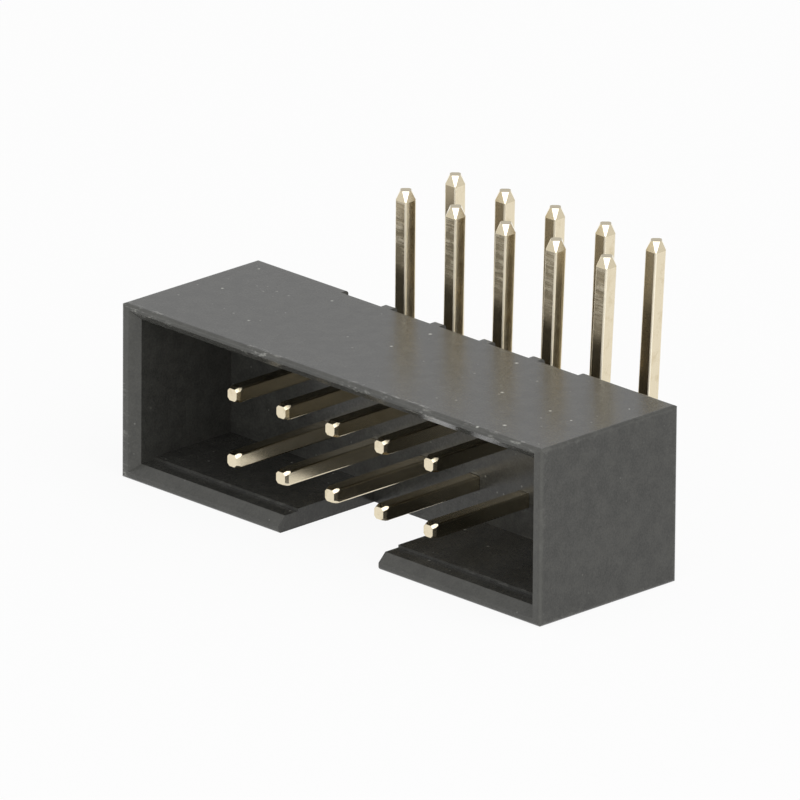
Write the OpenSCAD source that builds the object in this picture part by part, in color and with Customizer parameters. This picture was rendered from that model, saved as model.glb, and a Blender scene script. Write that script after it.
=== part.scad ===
// Right-angle box header: a keyed plastic shroud with two rows of bent square contact pins.
// +Z is up, the mouth faces -Y and the rows run along X. The part lies on its keyed wall, with its
// board face and its solder tails upward. The origin is under the middle of the part's box.

/* [Contact pattern] */
// Contacts in each row
columns = 5; // [2:1:12]
// Spacing of the contacts along a row, and of the two rows
pitch = 2.54; // [2.2:0.01:3.5]

/* [Contact wire] */
// Thickness of the square wire
wire_size = 0.56; // [0.4:0.01:0.8]
// Radius of the wire's rounded edges
wire_edge = 0.07; // [0.05:0.01:0.15]
// Radius of the bend, along the middle of the wire
bend_radius = 0.8; // [0.6:0.05:1.1]
// How far the wire's faces close in at its two ends
face_inset = 0.05; // [0.01:0.01:0.1]

/* [Mating tips] */
// Set-back of the tips behind the mouth
tip_setback = 0.05; // [0:0.05:2]
// Length over which a tip's faces close in
tip_face_taper = 0.15; // [0.05:0.05:0.5]
// How far a tip's corners are cut back at its end
tip_corner_inset = 0.11; // [0.05:0.01:0.2]
// Length over which they are cut back
tip_corner_taper = 0.25; // [0.1:0.01:0.8]

/* [Solder tails] */
// Gap from the housing's back to the middle of the nearer tails, at the board face
tail_gap = 1.88; // [1.5:0.02:4]
// Height of the tails above the board face
tail_rise = 3.7; // [2:0.02:8]
// Length over which a tail's faces close in
tail_face_taper = 0.4; // [0.1:0.05:0.8]
// How far a tail's corners are cut back at its end
tail_corner_inset = 0.17; // [0.05:0.01:0.2]
// Length over which they are cut back
tail_corner_taper = 0.38; // [0.2:0.02:1]
// Backward lean of the last column's tails, in degrees, which grows from none at the first column
tail_lean = 3.2; // [0:0.1:5]

/* [Housing] */
// Distance from the outer contacts to each end of the housing
end_space = 5.78; // [4:0.02:10]
// Height of the housing, from the keyed wall to the board face
body_height = 6.78; // [6:0.02:12]
// Depth of the housing, from mouth to back
body_depth = 6.96; // [5.8:0.02:14]
// Depth of the cavity behind the mouth
cavity_depth = 4.9; // [3:0.1:5.8]
// Radius of the housing's outer edges
body_edge = 0.15; // [0.05:0.01:0.3]
// Thickness of the two end walls
end_wall = 0.72; // [0.6:0.01:1.5]
// Thickness of the keyed wall
key_wall = 0.72; // [0.65:0.01:1.2]
// Thickness of the board-side wall
board_wall = 0.65; // [0.65:0.01:1.2]
// Width of the key slot in the keyed wall
key_width = 5.2; // [3:0.1:8]
// Bevel along the inner edges of the mouth
mouth_bevel = 0.34; // [0.1:0.01:0.38]
// Depth of the shallow step inside the mouth, along both long walls
step_depth = 1; // [0.5:0.05:2]
// How far that step is cut into the walls
step_cut = 0.1; // [0.05:0.01:0.15]

/* [Back of the housing] */
// Width of the groove behind each contact column
groove_width = 2.08; // [1.2:0.02:2.4]
// Depth of those grooves
groove_depth = 0.38; // [0.2:0.02:0.5]
// Clearance around a contact in its passage through the back wall, on each side
passage_clearance = 0.01; // [0.005:0.005:0.05]

/* [Hidden] */
$fn = 48;
// Overrun of a cut past the face that it opens
overrun = 1;
rows = 2;
key_row = 0;
body_length = (columns - 1) * pitch + 2 * end_space;
cavity_length = body_length - 2 * end_wall;
cavity_height = body_height - key_wall - board_wall;
cavity_middle = key_wall + cavity_height / 2;
mouth_height = cavity_height + 2 * step_cut;
passage_size = wire_size + 2 * passage_clearance;
// Reach of the wire's rounded corners from its middle line
wire_reach = (wire_size / 2 - wire_edge) * sqrt(2) + wire_edge;
// The hindmost point, at the foot of the taper on the tail that leans most
hindmost_rise = tail_rise - tail_face_taper;
overall_depth = tail_y(key_row) + hindmost_rise * tail_slide(columns - 1) + wire_size / 2;
front_y = -overall_depth / 2;

function column_x(column) = (column - (columns - 1) / 2) * pitch;
function row_z(row) = cavity_middle + (row - (rows - 1) / 2) * pitch;
// The row beside the key has the longer contacts, which rise behind those of the other row
function tail_y(row) = body_depth + tail_gap + (rows - 1 - row) * pitch;
// How far a tail slides back for each millimetre of its height
function tail_slide(column) = tan(tail_lean * column / (columns - 1));
function pin_name(column, row) = str("pin_", column * rows + row + 1);

// Rectangle with rounded corners, centred on the origin
module rounded_rectangle(width, height, radius) {
    flat_width = width - 2 * radius;
    flat_height = height - 2 * radius;
    square([width, flat_height], center = true);
    square([flat_width, height], center = true);
    for (x = [-1, 1], y = [-1, 1])
        translate([x * flat_width / 2, y * flat_height / 2]) circle(r = radius);
}

// Section of the contact wire
module wire_section() {
    rounded_rectangle(wire_size, wire_size, wire_edge);
}

// Prism along +Z whose two turned faces close in by the inset over the taper at its far end
module closing_prism(length, reach, inset, taper, turn) {
    wide = reach + inset;
    narrow = reach - inset;
    rotate([90, 0, turn])
        linear_extrude(4 * wire_size, center = true)
            polygon([
                [-wide, -overrun],
                [wide, -overrun],
                [wide, length - 2 * taper],
                [narrow, length],
                [-narrow, length],
                [-wide, length - 2 * taper]
            ]);
}

// Straight wire along +Z, with the faces and corners of its far end tapered to a blunt tip
module wire_run(length, face_taper, corner_inset, corner_taper) {
    intersection() {
        linear_extrude(length) wire_section();
        closing_prism(length, wire_size / 2, face_inset, face_taper, 0);
        closing_prism(length, wire_size / 2, face_inset, face_taper, 90);
        closing_prism(length, wire_reach, corner_inset, corner_taper, 45);
        closing_prism(length, wire_reach, corner_inset, corner_taper, 135);
    }
}

// Quarter bend from +Y to +Z, with its centre at the origin
module wire_bend() {
    rotate([90, 0, 90])
        rotate([0, 0, -90])
            rotate_extrude(angle = 90)
                translate([bend_radius, 0]) wire_section();
}

// One contact: mating tip, passage through the back wall, bend and leaning solder tail
module contact(column, row) {
    slide = tail_slide(column);
    bend_z = row_z(row) + bend_radius;
    tail_foot_y = tail_y(row) - (body_height - bend_z) * slide;
    tail_length = body_height + tail_rise - bend_z;
    bend_y = tail_foot_y - bend_radius;
    color([0.84, 0.77, 0.6])
        translate([column_x(column), front_y, 0]) {
            translate([0, bend_y, row_z(row)])
                rotate([90, 0, 0])
                    wire_run(bend_y - tip_setback, tip_face_taper, tip_corner_inset, tip_corner_taper);
            translate([0, bend_y, bend_z]) wire_bend();
            translate([0, tail_foot_y, bend_z])
                multmatrix([[1, 0, 0, 0], [0, 1, slide, 0], [0, 0, 1, 0]])
                    wire_run(tail_length, tail_face_taper, tail_corner_inset, tail_corner_taper);
        }
}

// Outline that widens towards the mouth, as wide as the size one bevel behind it, with the mouth at y = 0
module flare(size) {
    wide = size / 2 + mouth_bevel + overrun;
    narrow = size / 2 - mouth_bevel;
    deep = 2 * mouth_bevel;
    polygon([[-wide, -overrun], [wide, -overrun], [narrow, deep], [-narrow, deep]]);
}

// Bevels all four inner edges of the mouth
module mouth_cut() {
    translate([0, 0, cavity_middle])
        intersection() {
            linear_extrude(2 * body_height, center = true) flare(cavity_length);
            rotate([0, -90, 0]) linear_extrude(2 * body_length, center = true) flare(mouth_height);
        }
}

// Box that runs back from the mouth, centred along the length
module mouth_box(length, depth, low_z, high_z) {
    translate([-length / 2, -overrun, low_z]) cube([length, depth + overrun, high_z - low_z]);
}

// The space that the mating plug fills, open at the mouth and at the key slot
module cavity_cut() {
    cavity_low = key_wall;
    cavity_high = body_height - board_wall;
    mouth_box(cavity_length, cavity_depth, cavity_low, cavity_high);
    mouth_box(cavity_length, step_depth, cavity_low - step_cut, cavity_high + step_cut);
    mouth_box(key_width, cavity_depth, -overrun, cavity_middle);
    mouth_cut();
}

// Groove in the back, and the passages of one contact column
module column_cut(column) {
    groove_floor = body_depth - groove_depth;
    translate([column_x(column), 0, 0]) {
        translate([-groove_width / 2, groove_floor, -overrun])
            cube([groove_width, groove_depth + overrun, body_height + 2 * overrun]);
        for (row = [0 : rows - 1])
            translate([0, body_depth / 2, row_z(row)])
                rotate([90, 0, 0])
                    linear_extrude(body_depth + overrun, center = true)
                        rounded_rectangle(passage_size, passage_size, wire_edge + passage_clearance);
    }
}

// The housing before it is hollowed out, with all its edges rounded
module body_block() {
    translate([0, body_depth / 2, body_height / 2])
        intersection() {
            linear_extrude(2 * body_height, center = true)
                rounded_rectangle(body_length, body_depth, body_edge);
            rotate([90, 0, 0])
                linear_extrude(2 * body_depth, center = true)
                    rounded_rectangle(body_length, body_height, body_edge);
            rotate([90, 0, 90])
                linear_extrude(2 * body_length, center = true)
                    rounded_rectangle(body_depth, body_height, body_edge);
        }
}

module housing() {
    color([0.17, 0.17, 0.175])
        translate([0, front_y, 0])
            difference() {
                body_block();
                cavity_cut();
                for (column = [0 : columns - 1]) column_cut(column);
            }
}

housing();
for (column = [0 : columns - 1], row = [0 : rows - 1])
    contact(column, row);
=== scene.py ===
"""Looks of a right-angle box header: camera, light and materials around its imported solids."""
import math

import bpy
from mathutils import Matrix, Vector


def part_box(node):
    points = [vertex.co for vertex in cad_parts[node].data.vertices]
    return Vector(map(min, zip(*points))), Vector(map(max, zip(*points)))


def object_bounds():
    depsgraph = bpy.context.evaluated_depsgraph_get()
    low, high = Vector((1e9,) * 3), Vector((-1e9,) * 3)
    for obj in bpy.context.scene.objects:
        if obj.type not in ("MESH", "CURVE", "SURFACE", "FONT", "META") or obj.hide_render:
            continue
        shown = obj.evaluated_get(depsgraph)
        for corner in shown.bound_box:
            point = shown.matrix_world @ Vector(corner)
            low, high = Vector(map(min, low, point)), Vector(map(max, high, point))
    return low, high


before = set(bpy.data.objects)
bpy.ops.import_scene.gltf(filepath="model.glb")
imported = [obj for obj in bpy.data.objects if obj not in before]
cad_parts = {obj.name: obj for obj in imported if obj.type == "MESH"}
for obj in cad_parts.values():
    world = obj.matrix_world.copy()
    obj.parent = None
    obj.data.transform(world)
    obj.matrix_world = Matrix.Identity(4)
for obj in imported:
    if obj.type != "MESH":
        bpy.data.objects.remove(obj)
CAD_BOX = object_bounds()

MM = 0.001
WHITE = (1, 1, 1, 1)

# Camera, as fitted to the photograph
PIXELS = 800
AZIMUTH = math.radians(45.34)
ELEVATION = math.radians(19.88)
ROLL = math.radians(0.43)
DISTANCE = 700 * MM
CLIP_RATIO = 10
PIXELS_PER_MM = 27.6
AIM_BEHIND_MOUTH = 3.03 * MM
AIM_HEIGHT = 5.03 * MM
AIM_PIXEL = (388.8, 401.8)
SENSOR_WIDTH = 36.0

# Light, where 1 shows as white, and the stage, in metres
FILL_LEVEL = 0.46
MIRRORED_LEVEL = 0.88
SURROUND_LEVEL = 1.0
SQUARE_SOFTBOX = (0.5, 0.5)
LOW_SOFTBOX = (0.85, 0.4)
BROAD_SOFTBOX = (1.2, 0.62)
FLOOR_COLOUR = (0.92, 0.92, 0.92, 1)
FLOOR_PALENESS = 0.92
FLOOR_HALF_SIZE = 1.5

# Pieces, and places on them counted in millimetres
HOUSING_LOW, HOUSING_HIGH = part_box("housing")
PIN_NAMES = sorted(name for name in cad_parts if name.startswith("pin_"))
LEFT_X = HOUSING_LOW.x / MM
RIGHT_X = HOUSING_HIGH.x / MM
MOUTH_Y = HOUSING_LOW.y / MM
BACK_Y = HOUSING_HIGH.y / MM
NEAR_TAIL_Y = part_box("pin_2")[1].y / MM
FAR_TAIL_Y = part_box("pin_1")[1].y / MM
BOARD_FACE_Z = HOUSING_HIGH.z / MM
TAIL_TOP_Z = CAD_BOX[1].z / MM

# Plastic of the housing
PLASTIC_DARK = (0.037, 0.037, 0.034)
PLASTIC_PALE = (0.068, 0.0675, 0.061)
# Tint of rubbed edges, also used to paint light on the mouth's front faces
PLASTIC_RUBBED_AND_LIT = (0.3, 0.3, 0.275)
PLASTIC_IOR = 1.4
# Share of the rubbed tint painted on the mouth's front faces as painted light
RIM_PAINTED_LIGHT = 0.1
GRAIN_DEPTH = 0.006 * MM
FINE_DUST = (0.26, 0.26, 0.235)
COARSE_DUST = (0.6, 0.6, 0.54)

# Plating of the contacts
PLATING_BRIGHT = (0.79, 0.70, 0.52)
PLATING_DULL = (0.68, 0.58, 0.40)
MATING_ROUGHNESS = 0.08
DRAWN_DEPTH = 0.006 * MM
SCORE_DEPTH = 0.03 * MM
# Colour of each kind of spot on the tails, and what it adds to the roughness, in the order of their layers
TAIL_FINISHES = {
    "sheared": ((0.41, 0.345, 0.235), 0.14),
    "scored": ((0.78, 0.70, 0.54), 0.15),
    # Rounded corners: pale and rough, partly worn plating and partly a painted highlight
    "corner": ((0.95, 0.88, 0.72), 0.4),
    "pinched": ((0.66, 0.58, 0.42), 0.1),
    "cut_end": ((0.5, 0.435, 0.31), 0.0),
    "cut_corner": ((0.96, 0.9, 0.75), 0.0),
}


def direction(azimuth, elevation):
    """Unit vector towards a place around the part, with azimuth 0 in front of the mouth."""
    return Vector((
        math.sin(azimuth) * math.cos(elevation),
        -math.cos(azimuth) * math.cos(elevation),
        math.sin(elevation),
    ))


def add_camera():
    """Long lens, so that parallel edges stay nearly parallel as in the photograph."""
    back = direction(AZIMUTH, ELEVATION)
    right = Vector((math.cos(AZIMUTH), math.sin(AZIMUTH), 0))
    up = back.cross(right)
    aim = Vector((0, HOUSING_LOW.y + AIM_BEHIND_MOUTH, AIM_HEIGHT))
    right_of_aim = (PIXELS / 2 - AIM_PIXEL[0]) / PIXELS_PER_MM * MM
    above_aim = (AIM_PIXEL[1] - PIXELS / 2) / PIXELS_PER_MM * MM
    data = bpy.data.cameras.new("camera")
    data.sensor_width = SENSOR_WIDTH
    data.lens = PIXELS_PER_MM * (DISTANCE / MM) * SENSOR_WIDTH / PIXELS
    data.clip_start = DISTANCE / CLIP_RATIO
    data.clip_end = DISTANCE * CLIP_RATIO
    camera = bpy.data.objects.new("camera", data)
    bpy.context.scene.collection.objects.link(camera)
    axes = Matrix((right, up, back)).transposed().to_4x4()
    place = Matrix.Translation(aim + back * DISTANCE + right * right_of_aim + up * above_aim)
    camera.matrix_world = place @ axes @ Matrix.Rotation(ROLL, 4, "Z")
    bpy.context.scene.camera = camera


class Graph:
    """A node tree with its output node, and short calls for the nodes that lead there."""

    def __init__(self, tree, output_kind):
        self.tree = tree
        tree.nodes.clear()
        self.surface = self.add(output_kind).inputs["Surface"]

    def add(self, kind, inputs=None, **settings):
        """Adds a node, with values or links for its inputs and with settings of its own."""
        node = self.tree.nodes.new(kind)
        for name, value in settings.items():
            setattr(node, name, value)
        for name, value in (inputs or {}).items():
            self.feed(node.inputs[name], value)
        return node

    def feed(self, socket, value):
        """Links the socket to an output, or sets its own value."""
        if isinstance(value, bpy.types.NodeSocket):
            self.tree.links.new(value, socket)
        else:
            socket.default_value = value

    def show(self, shader):
        self.feed(self.surface, shader)

    def maths(self, operation, first, second=0.0):
        return self.add("ShaderNodeMath", {0: first, 1: second}, operation=operation).outputs[0]

    def fold(self, operation, values):
        """Takes all the values together with one operation, from the first to the last."""
        result = values[0]
        for value in values[1:]:
            result = self.maths(operation, result, value)
        return result

    def product(self, *factors):
        return self.fold("MULTIPLY", factors)

    def total(self, *terms):
        return self.fold("ADD", terms)

    def greatest(self, *values):
        return self.fold("MAXIMUM", values)

    def ramp(self, value, start, end):
        """Smooth step from 0 at the start to 1 at the end, which may be the lower of the two."""
        inputs = {"Value": value, "From Min": start, "From Max": end}
        return self.add("ShaderNodeMapRange", inputs, interpolation_type="SMOOTHSTEP").outputs[0]

    def between(self, factor, at_0, at_1):
        """Number that runs from one value to the other as the factor runs from 0 to 1."""
        inputs = {"Value": factor, "To Min": at_0, "To Max": at_1}
        return self.add("ShaderNodeMapRange", inputs).outputs[0]

    def millimetres(self, stretch=(1, 1, 1)):
        """Object coordinates counted in millimetres, times a factor along each axis."""
        place = self.add("ShaderNodeTexCoord").outputs["Object"]
        factors = [factor / MM for factor in stretch]
        return self.add("ShaderNodeVectorMath", {0: place, 1: factors}, operation="MULTIPLY").outputs[0]

    def parts(self, vector):
        return self.add("ShaderNodeSeparateXYZ", {0: vector}).outputs

    def spot(self):
        """The place in millimetres, its three parts, and the three parts of the way that it faces."""
        where = self.millimetres()
        normal = self.add("ShaderNodeNewGeometry").outputs["Normal"]
        return where, self.parts(where), self.parts(normal)

    def noise(self, where, scale, detail=2.0, roughness=0.5):
        inputs = {"Vector": where, "Scale": scale, "Detail": detail, "Roughness": roughness}
        return self.add("ShaderNodeTexNoise", inputs).outputs["Fac"]

    def mix(self, factor, first, second):
        """Mixes two colours by the node's own colour sockets, which come after those for other data."""
        colours = [c if isinstance(c, bpy.types.NodeSocket) else (*c, 1) for c in (first, second)]
        inputs = {0: factor, 6: colours[0], 7: colours[1]}
        return self.add("ShaderNodeMix", inputs, data_type="RGBA").outputs[2]

    def bump(self, height, strength, depth, normal=None):
        """Normal of a surface with the height on it, on top of another normal where one is given."""
        node = self.add("ShaderNodeBump", {"Height": height, "Strength": strength, "Distance": depth})
        if normal is not None:
            self.feed(node.inputs["Normal"], normal)
        return node.outputs["Normal"]

    def shader(self, kind, inputs):
        return self.add(kind, inputs).outputs[0]

    def background(self, level):
        return self.shader("ShaderNodeBackground", {"Color": WHITE, "Strength": level})

    def mix_shaders(self, factor, first, second):
        return self.shader("ShaderNodeMixShader", {0: factor, 1: first, 2: second})

    def seen_directly(self):
        """1 for rays that should see a plain white surround: camera, glossy and transmission rays."""
        path = self.add("ShaderNodeLightPath").outputs
        return self.greatest(path["Is Camera Ray"], path["Is Glossy Ray"], path["Is Transmission Ray"])


def new_material(name):
    material = bpy.data.materials.new(name)
    material.use_nodes = True
    return material, Graph(material.node_tree, "ShaderNodeOutputMaterial")


def add_world():
    """White surround, which lights the part less than it shows to the camera and in reflections."""
    world = bpy.data.worlds.new("studio")
    world.use_nodes = True
    bpy.context.scene.world = world
    graph = Graph(world.node_tree, "ShaderNodeOutputWorld")
    path = graph.add("ShaderNodeLightPath").outputs
    sky = graph.background(FILL_LEVEL)
    for ray, level in (("Is Glossy Ray", MIRRORED_LEVEL), ("Is Camera Ray", SURROUND_LEVEL)):
        sky = graph.mix_shaders(path[ray], sky, graph.background(level))
    graph.show(sky)


def floor_material():
    """White paper, shown paler than it is lit so that only a soft shadow stays."""
    material, graph = new_material("floor_paper")
    paper = graph.shader("ShaderNodeBsdfDiffuse", {"Color": FLOOR_COLOUR})
    glow = graph.shader("ShaderNodeEmission", {"Color": WHITE, "Strength": SURROUND_LEVEL})
    share = graph.product(graph.seen_directly(), FLOOR_PALENESS)
    graph.show(graph.mix_shaders(share, paper, glow))
    return material


def add_floor():
    half = FLOOR_HALF_SIZE
    mesh = bpy.data.meshes.new("floor")
    corners = [(-half, -half, 0), (half, -half, 0), (half, half, 0), (-half, half, 0)]
    mesh.from_pydata(corners, [], [(0, 1, 2, 3)])
    mesh.materials.append(floor_material())
    floor = bpy.data.objects.new("floor", mesh)
    bpy.context.scene.collection.objects.link(floor)


def add_softbox(name, azimuth, elevation, distance, size, radiance):
    """Area light of some width and height that faces the part, with its angles in degrees."""
    width, height = size
    back = direction(math.radians(azimuth), math.radians(elevation))
    data = bpy.data.lights.new(name, "AREA")
    data.shape = "RECTANGLE"
    data.size = width
    data.size_y = height
    data.energy = radiance * math.pi * width * height
    light = bpy.data.objects.new(name, data)
    bpy.context.scene.collection.objects.link(light)
    light.location = back * distance
    light.rotation_euler = back.to_track_quat("Z", "Y").to_euler()


def add_lights():
    """Softboxes that are not much brighter than the surround, so that none shows as a glare."""
    add_softbox("softbox_above", azimuth=95, elevation=58, distance=0.7, size=SQUARE_SOFTBOX, radiance=1.5)
    add_softbox("softbox_by_camera", azimuth=38, elevation=22, distance=1, size=BROAD_SOFTBOX, radiance=1.25)
    add_softbox("softbox_in_front", azimuth=-26, elevation=16, distance=1, size=LOW_SOFTBOX, radiance=1.0)
    add_softbox("softbox_at_end", azimuth=100, elevation=20, distance=1, size=BROAD_SOFTBOX, radiance=1.1)


def outer_edges(graph, reach, blunt, sharp):
    """Rises from 0 to 1 along outer edges, between two levels of how open the solid is within reach."""
    inputs = {"Color": WHITE, "Distance": reach}
    inside = graph.add("ShaderNodeAmbientOcclusion", inputs, samples=8, inside=True, only_local=True)
    return graph.ramp(inside.outputs["AO"], start=blunt, end=sharp)


def box_edges(graph, place, band):
    """Rises from 0 to 1 towards the edges of the housing's box, over a band counted in millimetres."""
    middle = (HOUSING_LOW + HOUSING_HIGH) / 2 / MM
    half = (HOUSING_HIGH - HOUSING_LOW) / 2 / MM
    at_sides = []
    for axis in range(3):
        offset = graph.maths("ABSOLUTE", graph.maths("SUBTRACT", place[axis], middle[axis]))
        at_sides.append(graph.ramp(offset, start=half[axis] - band, end=half[axis]))
    x, y, z = at_sides
    return graph.greatest(graph.product(x, y), graph.product(y, z), graph.product(z, x))


def dust(graph, where, cells_per_mm, radius, share):
    """Specks of mixed sizes in a share of the cells of a pattern, with the radius counted in cells."""
    least_radius = 0.4 * radius
    threshold = 1 - share
    softness = 0.02
    cells = graph.add("ShaderNodeTexVoronoi", {"Vector": where, "Scale": cells_per_mm}, feature="F1")
    chance = graph.add("ShaderNodeSeparateColor", {0: cells.outputs["Color"]}).outputs
    rim = graph.between(chance["Green"], at_0=least_radius, at_1=radius)
    speck = graph.ramp(cells.outputs["Distance"], start=rim, end=0.0)
    return graph.product(speck, graph.ramp(chance["Red"], start=threshold, end=threshold + softness))


def scuffs(graph, where, place, at_mouth):
    """Nicks in patches: clear along the mouth's top and left edges, faint along other outer edges."""
    top = graph.ramp(place["Z"], start=BOARD_FACE_Z - 0.8, end=BOARD_FACE_Z - 0.3)
    short_of_right = graph.ramp(place["X"], start=RIGHT_X - 0.2, end=RIGHT_X - 1.0)
    left = graph.ramp(place["X"], start=LEFT_X + 0.8, end=LEFT_X + 0.3)
    knocked = graph.product(at_mouth, graph.greatest(graph.product(top, short_of_right), left))
    nicks = graph.noise(graph.millimetres((0.4, 1, 1)), scale=5.0, detail=5.0, roughness=0.7)
    patches = graph.noise(where, scale=0.35)
    return graph.product(
        graph.between(knocked, at_0=0.2, at_1=1.0),
        outer_edges(graph, reach=0.35 * MM, blunt=0.98, sharp=0.68),
        graph.ramp(nicks, start=0.49, end=0.65),
        graph.ramp(patches, start=0.4, end=0.55),
    )


def wear(graph, where, place, at_mouth):
    """Uneven rubbing along the edges of the housing's box, most of all at the mouth."""
    return graph.product(
        graph.between(at_mouth, at_0=0.3, at_1=1.0),
        box_edges(graph, place, band=0.2),
        graph.between(graph.noise(where, scale=1.2), at_0=0.05, at_1=0.35),
    )


def plastic_material():
    """Black satin moulding: mottle and fine grain, the mouth's front faces painted paler as painted light,
    edges worn by rubbing, and dust of two sizes.
    """
    material, graph = new_material("housing_plastic")
    where, place, facing = graph.spot()
    grain = graph.ramp(graph.noise(where, scale=13.0, detail=3.0, roughness=0.6), start=0.3, end=0.7)
    mottle = graph.ramp(graph.noise(where, scale=1.8, detail=5.0, roughness=0.65), start=0.32, end=0.68)
    average = graph.product(graph.total(mottle, grain), 0.5)
    at_mouth = graph.ramp(place["Y"], start=MOUTH_Y + 0.6, end=MOUTH_Y + 0.4)
    # Front faces at the mouth, made paler as painted light
    rim = graph.product(at_mouth, graph.ramp(facing["Y"], start=-0.3, end=-0.6))
    # Scuffs and worn edges, together with the painted light on the mouth's front faces
    rubbed_and_lit = graph.greatest(
        scuffs(graph, where, place, at_mouth),
        wear(graph, where, place, at_mouth),
        graph.product(rim, RIM_PAINTED_LIGHT),
    )
    settled = graph.between(graph.ramp(facing["Z"], start=0.5, end=0.9), at_0=0.25, at_1=1.0)
    coarse = graph.product(settled, dust(graph, where, cells_per_mm=1.6, radius=0.18, share=0.15))
    fine = dust(graph, where, cells_per_mm=3.2, radius=0.24, share=0.12)
    colour = graph.mix(average, PLASTIC_DARK, PLASTIC_PALE)
    for mask, tint in ((fine, FINE_DUST), (rubbed_and_lit, PLASTIC_RUBBED_AND_LIT), (coarse, COARSE_DUST)):
        colour = graph.mix(mask, colour, tint)
    graph.show(graph.shader("ShaderNodeBsdfPrincipled", {
        "Base Color": colour,
        "Roughness": graph.between(grain, at_0=0.12, at_1=0.22),
        "IOR": PLASTIC_IOR,
        "Normal": graph.bump(grain, strength=0.3, depth=GRAIN_DEPTH),
    }))
    return material


def tail_masks(graph, place, facing, behind):
    """Masks of the tails' sheared faces, rounded corners and pinched tips with their cuts."""
    sideways, lengthways, upward = (graph.maths("ABSOLUTE", part) for part in facing)
    slanting = graph.product(sideways, lengthways)
    upright = graph.product(behind, graph.ramp(upward, start=0.2, end=0.05))
    at_tip = graph.ramp(place["Z"], start=TAIL_TOP_Z - 0.5, end=TAIL_TOP_Z - 0.42)
    pinched = graph.product(at_tip, graph.ramp(upward, start=0.05, end=0.11))
    return {
        "sheared": graph.product(upright, graph.ramp(sideways, start=0.5, end=0.1)),
        # Rounded corners, paled as a painted highlight on top of their wear
        "corner": graph.product(upright, graph.ramp(slanting, start=0.08, end=0.3)),
        "pinched": pinched,
        "cut_end": graph.product(pinched, graph.ramp(upward, start=0.8, end=0.95)),
        "cut_corner": graph.product(pinched, graph.ramp(slanting, start=0.2, end=0.35)),
    }


def drawn_lines(graph, behind):
    """Normal with fine lines along the wire, which runs back through the housing and up behind it."""
    along = 0.04
    lines_per_mm = 18.0
    back = graph.noise(graph.millimetres((1, along, 1)), lines_per_mm)
    up = graph.noise(graph.millimetres((1, 1, along)), lines_per_mm)
    return graph.bump(graph.between(behind, at_0=back, at_1=up), strength=0.1, depth=DRAWN_DEPTH)


def plating_material():
    """Pale plating on square wire: smooth sides, dark scored faces, pale corners that are partly worn and
    partly a painted highlight, pinched tips.
    """
    material, graph = new_material("contact_plating")
    where, place, facing = graph.spot()
    behind = graph.ramp(place["Y"], start=BACK_Y, end=BACK_Y + 0.5)
    mating = graph.maths("SUBTRACT", 1.0, behind)
    masks = tail_masks(graph, place, facing, behind)
    blotches = graph.noise(where, scale=2.2, detail=4.0, roughness=0.65)
    smears = graph.noise(graph.millimetres((0.4, 1.5, 4)), scale=1.0, detail=5.0, roughness=0.72)
    handled = graph.product(
        masks["sheared"],
        graph.ramp(place["Y"], start=FAR_TAIL_Y - 0.6, end=NEAR_TAIL_Y),
        graph.ramp(place["Z"], start=BOARD_FACE_Z, end=BOARD_FACE_Z + 2),
    )
    in_blotches = graph.ramp(blotches, start=0.36, end=0.56)
    masks["scored"] = graph.product(handled, in_blotches, graph.ramp(smears, start=0.42, end=0.66))
    colour = graph.mix(graph.ramp(blotches, start=0.5, end=0.8), PLATING_BRIGHT, PLATING_DULL)
    roughness = graph.between(blotches, at_0=0.06, at_1=0.13)
    roughness = graph.total(roughness, graph.product(mating, MATING_ROUGHNESS))
    for name, (tint, added) in TAIL_FINISHES.items():
        colour = graph.mix(masks[name], colour, tint)
        roughness = graph.total(roughness, graph.product(masks[name], added))
    score_strength = graph.product(handled, 0.3)
    graph.show(graph.shader("ShaderNodeBsdfPrincipled", {
        "Base Color": colour,
        "Metallic": 1.0,
        "Roughness": roughness,
        "Normal": graph.bump(smears, score_strength, SCORE_DEPTH, drawn_lines(graph, behind)),
    }))
    return material


def dress(node, material):
    """Gives one of the CAD's nodes a material in place of its own."""
    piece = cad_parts[node]
    piece.data.materials.clear()
    piece.data.materials.append(material)


add_camera()
add_world()
add_floor()
add_lights()
dress("housing", plastic_material())
plating = plating_material()
for pin in PIN_NAMES:
    dress(pin, plating)
bpy.context.scene.view_settings.view_transform = "Standard"
